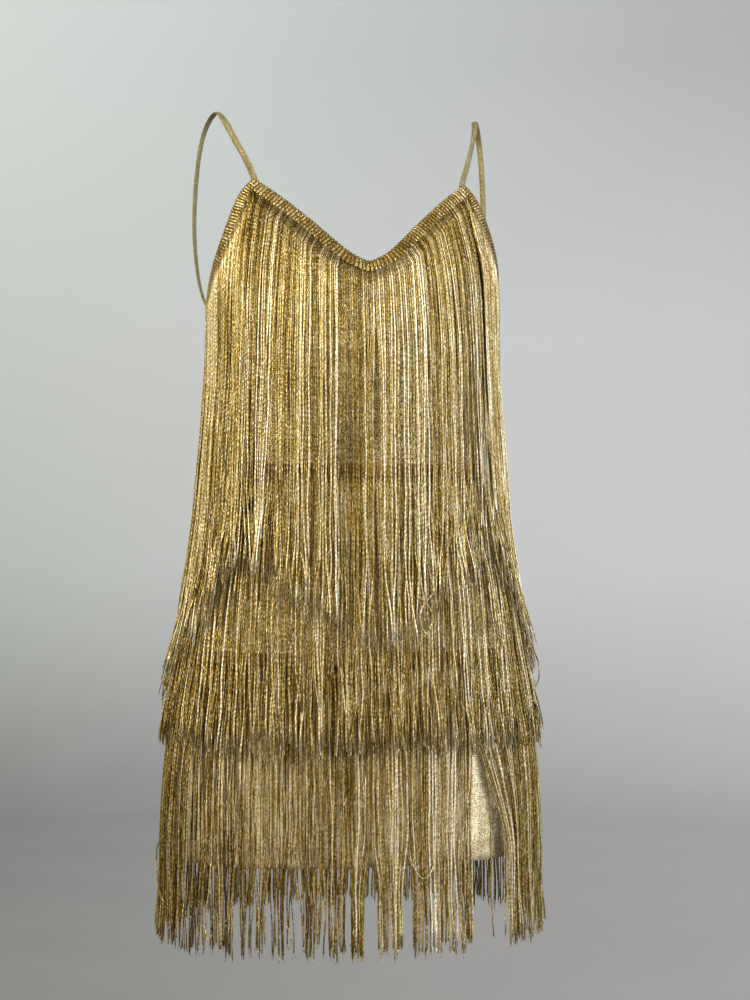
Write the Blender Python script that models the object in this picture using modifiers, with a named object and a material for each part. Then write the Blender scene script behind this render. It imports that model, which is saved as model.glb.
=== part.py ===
"""Flapper dress: a knitted slip on two shoulder straps, with three tiers of hanging fringe.

Metres, +Z up. The front faces -Y and the wearer's left is +X. The origin lies midway between the two
places where the straps rest on the shoulders. Angles run round the body in degrees: 0 is the front
centre, 90 the left side seam, 180 the back centre.
"""

import math
import random
from collections import namedtuple

import bmesh
import bpy
from mathutils import Vector

Section = namedtuple("Section", "z half_width front back")
EdgePoint = namedtuple("EdgePoint", "angle z")
RoutePoint = namedtuple("RoutePoint", "x y z")
Tier = namedtuple("Tier", "form levels length standoff")

# Driving sizes
SEAM_GAP = 0.0003
KNIT_WALL = 0.0012
HEM_Z = -0.711
HIPS_Z = -0.600
SEAM_RADIUS = 0.130
OVAL_POWER = 2.3
PUSH_STEPS = 6
ON_OVAL = 0.9999
PANEL_ROWS = 16

PEAK_ANGLE = 41.0
PEAK_Z = -0.0750
BAND_WIDTH = 0.009
BAND_THICKNESS = 0.0012
MITRE_REACH = 7.0

STRAP_WIDTH = 0.006
STRAP_THICKNESS = 0.0018
STRAP_TAIL = 0.013
STRAP_CLEARANCE = 0.0009
STRAP_BACK_ANGLE = 112.0
STRAP_POINTS = 34
SHOULDER_DEPTH = 0.045

LOCK_SHARE = 0.62
LOCK_SWAY = 0.0008
LENGTH_SPREAD = 0.006
ROOT_CLEARANCE = 0.010
END_CLEARANCE = 0.020
WAIST_BAND_Z = -0.342
HIP_BAND_Z = -0.516
LOCKS = {"neck": 22, "armhole": 9, "back": 36, "waist": 68, "hip": 80}

# The knitted slip's outer face, from the upper chest to the hem
SLIP = (
    Section(z=-0.060, half_width=0.1465, front=0.0500, back=0.0860),
    Section(z=-0.110, half_width=0.1440, front=0.0745, back=0.0920),
    Section(z=-0.157, half_width=0.1415, front=0.0957, back=0.0970),
    Section(z=-0.215, half_width=0.1385, front=0.1080, back=0.1000),
    Section(z=-0.250, half_width=0.1365, front=0.1110, back=0.0990),
    Section(z=-0.300, half_width=0.1300, front=0.1060, back=0.0910),
    Section(z=-0.345, half_width=0.1235, front=0.0965, back=0.0825),
    Section(z=-0.390, half_width=0.1215, front=0.0905, back=0.0780),
    Section(z=-0.440, half_width=0.1310, front=0.0940, back=0.0850),
    Section(z=-0.490, half_width=0.1460, front=0.1000, back=0.0970),
    Section(z=-0.540, half_width=0.1600, front=0.1050, back=0.1100),
    Section(z=-0.590, half_width=0.1705, front=0.1080, back=0.1175),
    Section(z=-0.640, half_width=0.1735, front=0.1090, back=0.1185),
    Section(z=-0.711, half_width=0.1740, front=0.1080, back=0.1160),
)

# Where each tier of fringe hangs: it falls from its band, over the bust or hips and straight down
TOP_FORM = (
    Section(z=-0.080, half_width=0.1470, front=0.0620, back=0.0900),
    Section(z=-0.115, half_width=0.1466, front=0.0800, back=0.0945),
    Section(z=-0.157, half_width=0.1447, front=0.0990, back=0.0992),
    Section(z=-0.215, half_width=0.1416, front=0.1107, back=0.1024),
    Section(z=-0.250, half_width=0.1412, front=0.1138, back=0.1035),
    Section(z=-0.300, half_width=0.1445, front=0.1150, back=0.1045),
    Section(z=-0.352, half_width=0.1490, front=0.1160, back=0.1060),
    Section(z=-0.400, half_width=0.1535, front=0.1165, back=0.1085),
    Section(z=-0.460, half_width=0.1625, front=0.1175, back=0.1145),
    Section(z=-0.520, half_width=0.1715, front=0.1185, back=0.1235),
    Section(z=-0.570, half_width=0.1795, front=0.1195, back=0.1300),
)
MIDDLE_FORM = (
    Section(z=-0.352, half_width=0.1250, front=0.0980, back=0.0840),
    Section(z=-0.400, half_width=0.1370, front=0.1045, back=0.0920),
    Section(z=-0.460, half_width=0.1545, front=0.1105, back=0.1055),
    Section(z=-0.520, half_width=0.1670, front=0.1135, back=0.1180),
    Section(z=-0.560, half_width=0.1750, front=0.1150, back=0.1240),
    Section(z=-0.600, half_width=0.1785, front=0.1165, back=0.1270),
)
LOW_FORM = (
    Section(z=-0.526, half_width=0.1588, front=0.1060, back=0.1090),
    Section(z=-0.560, half_width=0.1660, front=0.1087, back=0.1157),
    Section(z=-0.600, half_width=0.1750, front=0.1110, back=0.1207),
    Section(z=-0.640, half_width=0.1800, front=0.1125, back=0.1220),
    Section(z=-0.705, half_width=0.1830, front=0.1145, back=0.1230),
    Section(z=-0.790, half_width=0.1830, front=0.1165, back=0.1240),
)
TOP_LEVELS = (-0.115, -0.140, -0.165, -0.190, -0.220, -0.250, -0.360, -0.460)
TOP_TIER = Tier(form=TOP_FORM, levels=TOP_LEVELS, length=0.340, standoff=0.0004)
MIDDLE_TIER = Tier(form=MIDDLE_FORM, levels=(-0.400, -0.460, -0.520), length=0.249, standoff=0.0007)
LOW_TIER = Tier(form=LOW_FORM, levels=(-0.560, -0.610, -0.700), length=0.260, standoff=0.0007)

# The V neck, from the front centre up to the peak and on past it
NECK_EDGE = (
    EdgePoint(angle=0.0, z=-0.1570),
    EdgePoint(angle=5.0, z=-0.1484),
    EdgePoint(angle=10.0, z=-0.1364),
    EdgePoint(angle=17.0, z=-0.1186),
    EdgePoint(angle=28.5, z=-0.0944),
    EdgePoint(angle=41.0, z=-0.0750),
    EdgePoint(angle=53.0, z=-0.0600),
)

# The edge behind each peak: down the armhole, under the arm and across the back
ARMHOLE_EDGE = (
    EdgePoint(angle=33.0, z=-0.0680),
    EdgePoint(angle=41.0, z=-0.0750),
    EdgePoint(angle=49.5, z=-0.0905),
    EdgePoint(angle=57.0, z=-0.1120),
    EdgePoint(angle=65.0, z=-0.1335),
    EdgePoint(angle=75.0, z=-0.1560),
    EdgePoint(angle=84.0, z=-0.1755),
    EdgePoint(angle=92.0, z=-0.1905),
    EdgePoint(angle=105.0, z=-0.2130),
    EdgePoint(angle=130.0, z=-0.2300),
    EdgePoint(angle=180.0, z=-0.2360),
)
PEAK_COLUMNS = (45.0, 49.0, 54.0, 60.0, 67.0, 75.0, 83.0)
NECK_COLUMNS = 6
BACK_COLUMNS = 30

# The left strap's route over the shoulder, between its two sewn ends
STRAP_ROUTE = (
    RoutePoint(x=0.1065, y=-0.0335, z=-0.0550),
    RoutePoint(x=0.1150, y=-0.0170, z=-0.0340),
    RoutePoint(x=0.1228, y=0.0025, z=-0.0125),
    RoutePoint(x=0.1290, y=0.0265, z=0.0009),
    RoutePoint(x=0.1370, y=0.0460, z=-0.0100),
    RoutePoint(x=0.1428, y=0.0570, z=-0.0350),
    RoutePoint(x=0.1468, y=0.0635, z=-0.0850),
    RoutePoint(x=0.1462, y=0.0625, z=-0.1300),
    RoutePoint(x=0.1405, y=0.0550, z=-0.1720),
)


def between(before, start, end, after, share, gaps):
    """Cubic through start and end whose slopes follow the neighbours, for uneven gaps between them."""
    left, here, right = gaps
    slope_start = (end - before) / (left + here) if left else (end - start) / here
    slope_end = (after - start) / (here + right) if right else (end - start) / here
    s2 = share * share
    s3 = s2 * share
    return (
        (2 * s3 - 3 * s2 + 1) * start
        + (s3 - 2 * s2 + share) * here * slope_start
        + (3 * s2 - 2 * s3) * end
        + (s3 - s2) * here * slope_end
    )


def read(keys, rows, key):
    """Each column of rows where keys, which rise, reach key."""
    last = len(keys) - 1
    i = next((n for n in range(last - 1) if key < keys[n + 1]), last - 1)
    near = [max(i - 1, 0), i, i + 1, min(i + 2, last)]
    gaps = [keys[near[1]] - keys[near[0]], keys[i + 1] - keys[i], keys[near[3]] - keys[near[2]]]
    share = min(max((key - keys[i]) / gaps[1], 0.0), 1.0)
    columns = zip(*(rows[n] for n in near))
    return [between(*values, share, gaps) for values in columns]


def section_at(table, z):
    """The oval of a table of sections at a height."""
    drops = [table[0].z - row.z for row in table]
    sizes = [row[1:] for row in table]
    return Section(z, *read(drops, sizes, table[0].z - z))


def oval_point(section, angle):
    """A point of a section's oval."""
    s = math.sin(math.radians(angle))
    c = math.cos(math.radians(angle))
    depth = section.front if c > 0 else section.back
    x = section.half_width * math.copysign(abs(s) ** (2 / OVAL_POWER), s)
    y = -depth * math.copysign(abs(c) ** (2 / OVAL_POWER), c)
    return Vector((x, y, section.z))


def slip_point(angle, z, out=0.0):
    """A point of the slip's outer face, moved out along the face's own direction."""
    point = oval_point(section_at(SLIP, z), angle)
    if out == 0.0:
        return point
    step_angle = 0.5
    step_z = 0.002
    here = section_at(SLIP, z)
    round_it = oval_point(here, angle + step_angle) - oval_point(here, angle - step_angle)
    up_it = oval_point(section_at(SLIP, z + step_z), angle) - oval_point(section_at(SLIP, z - step_z), angle)
    return point + round_it.cross(up_it).normalized() * out


def outward(section, x, y):
    """The level direction that points out of a section's oval at x, y."""
    depth = section.front if y < 0 else section.back
    power = OVAL_POWER - 1
    gx = math.copysign((abs(x) / section.half_width) ** power, x) / section.half_width
    gy = math.copysign((abs(y) / depth) ** power, y) / depth
    return Vector((gx, gy, 0.0)).normalized()


def pushed_out(section, x, y):
    """x, y moved straight out to a section's oval if it lies inside it."""
    for _ in range(PUSH_STEPS):
        depth = section.front if y < 0 else section.back
        across = (abs(x) / section.half_width) ** OVAL_POWER
        reach = (across + (abs(y) / depth) ** OVAL_POWER) ** (1 / OVAL_POWER)
        if reach >= ON_OVAL:
            break
        out = outward(section, x, y)
        radius = math.hypot(x, y)
        x += out.x * (1 / reach - 1) * radius
        y += out.y * (1 / reach - 1) * radius
    return x, y


def arcs_of(section, angles):
    """The length round an oval at each of a rising list of angles, from the first one."""
    points = [oval_point(section, angle) for angle in angles]
    lengths = [0.0]
    for before, here in zip(points, points[1:]):
        lengths.append(lengths[-1] + (here - before).length)
    return lengths


def angles_at(section, first, last, shares):
    """The angles that lie at these shares of the way round an oval from first to last."""
    steps = 240
    fine = [first + (last - first) * n / steps for n in range(steps + 1)]
    lengths = arcs_of(section, fine)
    found = []
    for share in shares:
        wanted = share * lengths[-1]
        i = next((n for n in range(steps - 1) if wanted <= lengths[n + 1]), steps - 1)
        part = (wanted - lengths[i]) / (lengths[i + 1] - lengths[i])
        found.append(fine[i] + (fine[i + 1] - fine[i]) * min(max(part, 0.0), 1.0))
    return found


def neck_edge(angle):
    """Height of the V neck."""
    return read([row.angle for row in NECK_EDGE], [row[1:] for row in NECK_EDGE], angle)[0]


def armhole_edge(angle):
    """Height of the armhole and back edge."""
    return read([row.angle for row in ARMHOLE_EDGE], [row[1:] for row in ARMHOLE_EDGE], angle)[0]


def folded(angle):
    """The same place on the wearer's left half, from 0 at the front to 180 at the back."""
    turned = abs(angle) % 360.0
    return 360.0 - turned if turned > 180.0 else turned


def top_edge(angle):
    """Height of the slip's top edge."""
    side = folded(angle)
    return neck_edge(side) if side < PEAK_ANGLE else armhole_edge(side)


def band_foot(edge, angle):
    """Height of the lower side of a band of BAND_WIDTH that follows an edge."""
    side = folded(angle)
    step = 1.0
    fall = edge(side + step) - edge(max(side - step, 0.0))
    section = section_at(SLIP, edge(side))
    along = (oval_point(section, side + step) - oval_point(section, max(side - step, 0.0))).length
    return edge(side) - BAND_WIDTH * math.hypot(1.0, fall / along)


def top_band_foot(angle):
    """Height of the lower side of the neck and armhole band, mitred at the peak."""
    side = folded(angle)
    feet = []
    if side < PEAK_ANGLE + MITRE_REACH:
        feet.append(band_foot(neck_edge, side))
    if side > PEAK_ANGLE - MITRE_REACH:
        feet.append(band_foot(armhole_edge, side))
    return min(feet)


def material(name, red, green, blue, roughness, metallic):
    """A Principled material with one colour."""
    made = bpy.data.materials.new(name)
    made.use_nodes = True
    shader = made.node_tree.nodes["Principled BSDF"]
    shader.inputs["Base Color"].default_value = (red, green, blue, 1.0)
    shader.inputs["Roughness"].default_value = roughness
    shader.inputs["Metallic"].default_value = metallic
    return made


def add_object(name, bm, collection, finish):
    """A mesh object made from bmesh data."""
    mesh = bpy.data.meshes.new(name)
    bm.to_mesh(mesh)
    bm.free()
    mesh.materials.append(finish)
    obj = bpy.data.objects.new(name, mesh)
    collection.objects.link(obj)
    return obj


def panel(name, angles, seam_y, collection, finish):
    """One half of the slip: a sheet from its top edge to the hem, made into a wall."""
    bm = bmesh.new()
    columns = []
    for n, angle in enumerate(angles):
        top = top_edge(angle)
        column = []
        for row in range(PANEL_ROWS + 1):
            point = slip_point(angle, top + (HEM_Z - top) * row / PANEL_ROWS)
            if n in (0, len(angles) - 1):
                point.y = seam_y
            column.append(bm.verts.new(point))
        columns.append(column)
    for left, right in zip(columns, columns[1:]):
        for row in range(PANEL_ROWS):
            bm.faces.new((left[row], left[row + 1], right[row + 1], right[row]))
    obj = add_object(name, bm, collection, finish)
    wall = obj.modifiers.new("knit wall", "SOLIDIFY")
    wall.thickness = KNIT_WALL
    wall.offset = -1.0
    wall.use_even_offset = True
    return obj


def lock_sections(root, half_lock, tier, rng):
    """The four corners of each level section of a lock, from below its root to its cut end."""
    end = root.z - tier.length + rng.uniform(-LENGTH_SPREAD, LENGTH_SPREAD)
    first = root.z - BAND_WIDTH
    heights = [z for z in tier.levels if end + END_CLEARANCE < z < first - ROOT_CLEARANCE] + [end]
    start_width = section_at(tier.form, root.z).half_width
    sway = rng.uniform(-LOCK_SWAY, LOCK_SWAY)
    x, y = root.x, root.y
    sections = []
    for n, z in enumerate(heights):
        form = section_at(tier.form, z)
        x, y = pushed_out(form, x, y)
        out = outward(form, x, y)
        along = Vector((-out.y, out.x, 0.0))
        centre = Vector((x, y, z)) + along * sway * n / len(heights)
        wide = along * half_lock * form.half_width / start_width
        thick = out * BAND_THICKNESS / 2
        outer = [centre - wide + thick, centre + wide + thick]
        inner = [centre + wide - thick, centre - wide - thick]
        sections.append(outer + inner)
    return sections


def fringe(name, first, last, count, edge, foot, tier, rng, collection, finish):
    """A band sewn on the slip from one angle to another, with its locks of fringe hanging below it."""
    reference = section_at(SLIP, edge((first + last) / 2))
    shares = [0.0]
    for n in range(count):
        shares += [(n + 0.5 - LOCK_SHARE / 2) / count, (n + 0.5 + LOCK_SHARE / 2) / count]
    angles = angles_at(reference, first, last, shares + [1.0])
    near = tier.standoff
    far = near + BAND_THICKNESS
    bm = bmesh.new()
    stations = []
    for angle in angles:
        top, low = edge(angle), foot(angle)
        corners = [(top, far), (low, far), (low, near), (top, near)]
        stations.append([bm.verts.new(slip_point(angle, z, out)) for z, out in corners])
    bm.faces.new(stations[0])
    bm.faces.new(reversed(stations[-1]))
    for n, (left, right) in enumerate(zip(stations, stations[1:])):
        for a, b in ((3, 0), (0, 1), (2, 3)):
            bm.faces.new((left[a], left[b], right[b], right[a]))
        ring = [left[1], right[1], right[2], left[2]]
        if n % 2:
            middle = sum((vertex.co for vertex in ring), Vector()) / 4
            half_lock = (right[1].co - left[1].co).to_2d().length / 2
            for corners in lock_sections(middle, half_lock, tier, rng):
                lower = [bm.verts.new(corner) for corner in corners]
                for a, b in ((0, 1), (1, 2), (2, 3), (3, 0)):
                    bm.faces.new((ring[a], lower[a], lower[b], ring[b]))
                ring = lower
        bm.faces.new((ring[3], ring[2], ring[1], ring[0]))
    bmesh.ops.recalc_face_normals(bm, faces=bm.faces)
    return add_object(name, bm, collection, finish)


def strap_points():
    """The left strap's middle line: up from inside the peak, over the shoulder and down inside the back."""
    inside = -(KNIT_WALL + STRAP_CLEARANCE + STRAP_THICKNESS / 2)
    back_z = armhole_edge(STRAP_BACK_ANGLE)
    front_angle = PEAK_ANGLE - 0.6
    rows = [
        tuple(slip_point(front_angle, PEAK_Z - STRAP_TAIL, inside)),
        tuple(slip_point(front_angle, PEAK_Z - STRAP_TAIL / 2, inside)),
        tuple(slip_point(front_angle, PEAK_Z, inside - SEAM_GAP)),
        *STRAP_ROUTE,
        tuple(slip_point(STRAP_BACK_ANGLE, back_z + STRAP_TAIL, inside - SEAM_GAP)),
        tuple(slip_point(STRAP_BACK_ANGLE, back_z, inside)),
        tuple(slip_point(STRAP_BACK_ANGLE, back_z - STRAP_TAIL, inside)),
    ]
    lengths = [0.0]
    for before, here in zip(rows, rows[1:]):
        lengths.append(lengths[-1] + (Vector(here) - Vector(before)).length)
    return [Vector(read(lengths, rows, lengths[-1] * n / STRAP_POINTS)) for n in range(STRAP_POINTS + 1)]


def strap(name, side, collection, finish):
    """A flat strap: a strip along the middle line that lies flat on the body, made thick and softened."""
    points = strap_points()
    bm = bmesh.new()
    pairs = []
    for n, point in enumerate(points):
        ahead = points[min(n + 1, STRAP_POINTS)] - points[max(n - 1, 0)]
        upward = max(0.0, 1.0 + point.z / SHOULDER_DEPTH)
        level_out = outward(section_at(SLIP, point.z), point.x, point.y)
        outwards = level_out * (1.0 - upward) + Vector((0.0, 0.0, upward))
        across = ahead.cross(outwards).normalized() * STRAP_WIDTH / 2
        ends = (point - across, point + across)
        pairs.append([bm.verts.new(Vector((end.x * side, end.y, end.z))) for end in ends])
    for before, here in zip(pairs, pairs[1:]):
        bm.faces.new((before[0], before[1], here[1], here[0]))
    obj = add_object(name, bm, collection, finish)
    wall = obj.modifiers.new("strap thickness", "SOLIDIFY")
    wall.thickness = STRAP_THICKNESS
    wall.offset = 0.0
    wall.use_even_offset = True
    return obj


def clear_scene():
    """Removes whatever the file already holds."""
    for obj in list(bpy.data.objects):
        bpy.data.objects.remove(obj)


def build():
    """Makes every piece of the dress."""
    clear_scene()
    dress = bpy.data.collections.new("flapper_dress")
    bpy.context.scene.collection.children.link(dress)
    knit = material("gold knit", 0.36, 0.27, 0.13, 0.45, 0.35)
    yarn = material("gold fringe yarn", 0.42, 0.30, 0.13, 0.38, 0.45)
    cord = material("gold strap", 0.38, 0.31, 0.17, 0.5, 0.3)

    seam_y = SEAM_GAP / 2
    hips = section_at(SLIP, HIPS_Z)
    neck_columns = [PEAK_ANGLE * n / NECK_COLUMNS for n in range(NECK_COLUMNS + 1)]
    left_half = neck_columns + list(PEAK_COLUMNS) + [90.0]
    front_angles = [-angle for angle in reversed(left_half[1:])] + left_half
    back_angles = angles_at(hips, 90.0, 270.0, [n / BACK_COLUMNS for n in range(BACK_COLUMNS + 1)])
    panel("slip_front", front_angles, -seam_y, dress, knit)
    panel("slip_back", back_angles, seam_y, dress, knit)

    strap("strap_left", 1, dress, cord)
    strap("strap_right", -1, dress, cord)

    rng = random.Random(20)
    gap_angle = math.degrees(SEAM_GAP / SEAM_RADIUS)
    near_peak = PEAK_ANGLE - gap_angle / 2
    past_peak = PEAK_ANGLE + gap_angle / 2
    side = 90.0 - gap_angle / 2
    top = (top_edge, top_band_foot, TOP_TIER, rng, dress, yarn)
    fringe("fringe_neck", -near_peak, near_peak, LOCKS["neck"], *top)
    fringe("fringe_armhole_left", past_peak, side, LOCKS["armhole"], *top)
    fringe("fringe_armhole_right", -side, -past_peak, LOCKS["armhole"], *top)
    fringe("fringe_back", 180.0 - side, 180.0 + side, LOCKS["back"], *top)

    def level(z):
        return lambda angle: z

    waist = (level(WAIST_BAND_Z), level(WAIST_BAND_Z - BAND_WIDTH), MIDDLE_TIER, rng, dress, yarn)
    hip = (level(HIP_BAND_Z), level(HIP_BAND_Z - BAND_WIDTH), LOW_TIER, rng, dress, yarn)
    fringe("fringe_waist", 180.0 - side, 360.0 + side, LOCKS["waist"], *waist)
    fringe("fringe_hip", 180.0 - side, 360.0 + side, LOCKS["hip"], *hip)


build()
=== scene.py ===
"""Flapper dress: a sheer gold knitted slip on two shoulder straps, with three tiers of hanging fringe.

Metres, +Z up, front facing -Y, the wearer's left at +X. The origin is midway between the places where
the straps rest on the shoulders. Angles run round the body in degrees: 0 is the front centre, 90 the
left side seam, 180 the back centre.
"""

import math
from collections import namedtuple

import bpy
import numpy as np
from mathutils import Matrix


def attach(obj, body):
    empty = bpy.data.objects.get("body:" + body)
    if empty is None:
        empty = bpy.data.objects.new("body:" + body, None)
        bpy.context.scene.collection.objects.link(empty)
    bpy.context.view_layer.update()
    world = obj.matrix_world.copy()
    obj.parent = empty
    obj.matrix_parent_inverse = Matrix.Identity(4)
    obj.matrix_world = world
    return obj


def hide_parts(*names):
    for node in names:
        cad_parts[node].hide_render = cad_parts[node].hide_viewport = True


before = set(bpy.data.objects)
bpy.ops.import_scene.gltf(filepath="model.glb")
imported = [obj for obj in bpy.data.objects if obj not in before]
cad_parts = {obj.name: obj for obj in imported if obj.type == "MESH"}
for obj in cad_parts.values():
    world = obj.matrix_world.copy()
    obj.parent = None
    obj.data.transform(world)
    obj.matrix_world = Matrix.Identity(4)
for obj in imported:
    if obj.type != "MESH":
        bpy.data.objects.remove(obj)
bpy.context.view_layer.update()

# The slip: two halves cut from a sheer gold jersey knitted with flat metallic yarn, joined at the
# side seams. The hem is turned up once inside and stitched.
Section = namedtuple("Section", "z half_width front back")  # a level section: half its width, and its depths
EdgePoint = namedtuple("EdgePoint", "angle z")

SLIP = (
    Section(-0.060, 0.1465, 0.0500, 0.0860),
    Section(-0.110, 0.1440, 0.0745, 0.0920),
    Section(-0.157, 0.1415, 0.0957, 0.0970),
    Section(-0.215, 0.1385, 0.1080, 0.1000),
    Section(-0.250, 0.1365, 0.1110, 0.0990),
    Section(-0.300, 0.1300, 0.1060, 0.0910),
    Section(-0.345, 0.1235, 0.0965, 0.0825),
    Section(-0.390, 0.1215, 0.0905, 0.0780),
    Section(-0.440, 0.1310, 0.0940, 0.0850),
    Section(-0.490, 0.1460, 0.1000, 0.0970),
    Section(-0.540, 0.1600, 0.1050, 0.1100),
    Section(-0.590, 0.1705, 0.1080, 0.1175),
    Section(-0.640, 0.1735, 0.1090, 0.1185),
    Section(-0.711, 0.1740, 0.1080, 0.1160),
)
NECK_EDGE = (
    EdgePoint(0.0, -0.1570),
    EdgePoint(5.0, -0.1484),
    EdgePoint(10.0, -0.1364),
    EdgePoint(17.0, -0.1186),
    EdgePoint(28.5, -0.0944),
    EdgePoint(41.0, -0.0750),
    EdgePoint(53.0, -0.0600),
)
ARMHOLE_EDGE = (
    EdgePoint(33.0, -0.0680),
    EdgePoint(41.0, -0.0750),
    EdgePoint(49.5, -0.0905),
    EdgePoint(57.0, -0.1120),
    EdgePoint(65.0, -0.1335),
    EdgePoint(75.0, -0.1560),
    EdgePoint(84.0, -0.1755),
    EdgePoint(92.0, -0.1905),
    EdgePoint(105.0, -0.2130),
    EdgePoint(130.0, -0.2300),
    EdgePoint(180.0, -0.2360),
)
OVAL_POWER = 2.3
PEAK_ANGLE = 41.0
HEM_Z = -0.711
HEM_TURN_UP = 0.020
KNIT_THICKNESS = 0.0007
KNIT_COLUMNS = 150
KNIT_ROWS = 110
HEM_ROWS = 5
HEM_FOLD = 0.0013
SIDE_GAP = 0.00015
FULLEST_Z = -0.62


def smooth(keys, rows, at):
    """Each column of rows, read at places between the rising keys, along a smooth curve."""
    keys = np.asarray(keys, float)
    rows = np.asarray(rows, float)
    slopes = np.empty_like(rows)
    slopes[1:-1] = (rows[2:] - rows[:-2]) / (keys[2:] - keys[:-2])[:, None]
    slopes[0] = (rows[1] - rows[0]) / (keys[1] - keys[0])
    slopes[-1] = (rows[-1] - rows[-2]) / (keys[-1] - keys[-2])
    at = np.clip(np.asarray(at, float), keys[0], keys[-1])
    i = np.clip(np.searchsorted(keys, at, side="right") - 1, 0, len(keys) - 2)
    width = (keys[i + 1] - keys[i])[..., None]
    s = (at - keys[i])[..., None] / width
    s2, s3 = s * s, s * s * s
    return (
        (2 * s3 - 3 * s2 + 1) * rows[i]
        + (s3 - 2 * s2 + s) * width * slopes[i]
        + (3 * s2 - 2 * s3) * rows[i + 1]
        + (s3 - s2) * width * slopes[i + 1]
    )


def sizes_at(form, z):
    """Half width, front and back depth of a form at heights z."""
    return smooth([-row.z for row in form], [row[1:] for row in form], -np.asarray(z, float))


def oval(form, angle, z, extra=0.0):
    """Points of a form's outline at angles and heights, moved out level by extra."""
    turn = np.radians(angle)
    s, c = np.sin(turn), np.cos(turn)
    size = sizes_at(form, z) + np.asarray(extra)[..., None]
    depth = np.where(c > 0, size[..., 1], size[..., 2])
    x = size[..., 0] * np.sign(s) * np.abs(s) ** (2 / OVAL_POWER)
    y = -depth * np.sign(c) * np.abs(c) ** (2 / OVAL_POWER)
    return np.stack(np.broadcast_arrays(x, y, z), axis=-1)


def unit(vectors):
    """The same directions with length one."""
    return vectors / np.maximum(np.linalg.norm(vectors, axis=-1, keepdims=True), 1e-12)


def distance_along(points):
    """Distance from the first point to each of the others, along a line or along each row of several."""
    steps = np.linalg.norm(np.diff(points, axis=-2), axis=-1)
    return np.concatenate([np.zeros(steps.shape[:-1] + (1,)), np.cumsum(steps, axis=-1)], axis=-1)


def slip_normal(angle, z):
    """Outward direction of the slip's face."""
    angle, z = np.broadcast_arrays(np.asarray(angle, float), np.asarray(z, float))
    round_it = oval(SLIP, angle + 0.5, z) - oval(SLIP, angle - 0.5, z)
    up_it = oval(SLIP, angle, z + 0.002) - oval(SLIP, angle, z - 0.002)
    return unit(np.cross(round_it, up_it))


def folded(angle):
    """The same place on the wearer's left half, from 0 at the front to 180 at the back."""
    turned = np.abs(angle) % 360.0
    return np.where(turned > 180.0, 360.0 - turned, turned)


def top_edge(angle):
    """Height of the slip's top edge: V neck in front, armholes and low back behind the peaks."""
    side = folded(angle)
    neck, armhole = (
        smooth([p.angle for p in points], [[p.z] for p in points], side)[..., 0]
        for points in (NECK_EDGE, ARMHOLE_EDGE)
    )
    return np.where(side < PEAK_ANGLE, neck, armhole)


def ramp(low, high, value):
    """0 at low and beyond it, 1 at high and beyond it, with an easy slope between, up or down."""
    share = np.clip((value - low) / (high - low), 0.0, 1.0)
    return share * share * (3 - 2 * share)


def knit_ease(angle, z):
    """How far the knit sinks in soft upright folds, deepest at the hem and slack round the waist."""
    turn = np.radians(angle)
    at_hem = ramp(-0.50, -0.70, z)
    hem_folds = 0.5 + 0.5 * np.sin(9 * turn + 1.1 * np.sin(2 * turn) + 0.6)
    at_waist = ramp(-0.27, -0.33, z) * ramp(-0.47, -0.41, z)
    waist_folds = 0.5 + 0.5 * np.sin(13 * turn + 26 * z + 0.8 * np.sin(3 * turn))
    return -0.0030 * at_hem * hem_folds - 0.0022 * at_waist * waist_folds


def linear(code):
    """An sRGB hex colour as linear red, green, blue and alpha."""
    parts = [int(code[n:n + 2], 16) / 255 for n in (1, 3, 5)]
    return tuple(p / 12.92 if p <= 0.04045 else ((p + 0.055) / 1.055) ** 2.4 for p in parts) + (1.0,)


def node(tree, kind, values=None, feeds=None, **properties):
    """Adds a shader node, sets its properties and socket values, and links what feeds it."""
    made = tree.nodes.new("ShaderNode" + kind)
    for name, value in properties.items():
        setattr(made, name, value)
    for socket, value in (values or {}).items():
        made.inputs[socket].default_value = value
    for socket, source in (feeds or {}).items():
        tree.links.new(source, made.inputs[socket])
    return made


def maths(tree, operation, *terms):
    """A Math node's result for its terms, each a number or another node's output."""
    made = node(tree, "Math", operation=operation)
    for place, term in enumerate(terms):
        if isinstance(term, float):
            made.inputs[place].default_value = term
        else:
            tree.links.new(term, made.inputs[place])
    return made.outputs[0]


def colour_steps(tree, factor, stops):
    """A colour ramp through (place, hex) stops."""
    made = node(tree, "ValToRGB", feeds={0: factor})
    elements = made.color_ramp.elements
    elements[0].position, elements[0].color = stops[0][0], linear(stops[0][1])
    elements[1].position, elements[1].color = stops[-1][0], linear(stops[-1][1])
    for place, code in stops[1:-1]:
        elements.new(place).color = linear(code)
    return made.outputs["Color"]


def material(name):
    """A new material with its tree and its Principled shader."""
    made = bpy.data.materials.new(name)
    made.use_nodes = True
    return made, made.node_tree, made.node_tree.nodes["Principled BSDF"]


# Metallic jersey: nylon ground with flat foil yarn, weft knitted. Loops 1 mm wide and 0.8 mm high, drawn
# twice as large because the true ones are too fine to show. The foil's facets glint one by one. Painted light
# makes the knit lighter from the waist down to the hips, and painted shade darkens the hem where it is
# double.
jersey, tree, shader = material("gold metallic jersey")
LOOP_WIDTH, LOOP_HEIGHT = 0.0020, 0.0017
FACET = 0.0011
cloth = node(tree, "UVMap", uv_map="Cloth").outputs["UV"]
apart = node(tree, "SeparateXYZ", feeds={0: cloth})
across = maths(tree, "MULTIPLY", apart.outputs["X"], math.tau / LOOP_WIDTH)
wale = maths(tree, "SINE", across)
up = maths(tree, "MULTIPLY", apart.outputs["Y"], math.tau / LOOP_HEIGHT)
bent = maths(tree, "MULTIPLY_ADD", wale, 1.4, up)
course = maths(tree, "SINE", bent)
loops = maths(tree, "ADD", wale, course)
facets = node(tree, "TexVoronoi", {"Scale": 1 / FACET}, {"Vector": cloth}, voronoi_dimensions="2D")
facet = node(tree, "SeparateColor", feeds={0: facets.outputs["Color"]})
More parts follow.
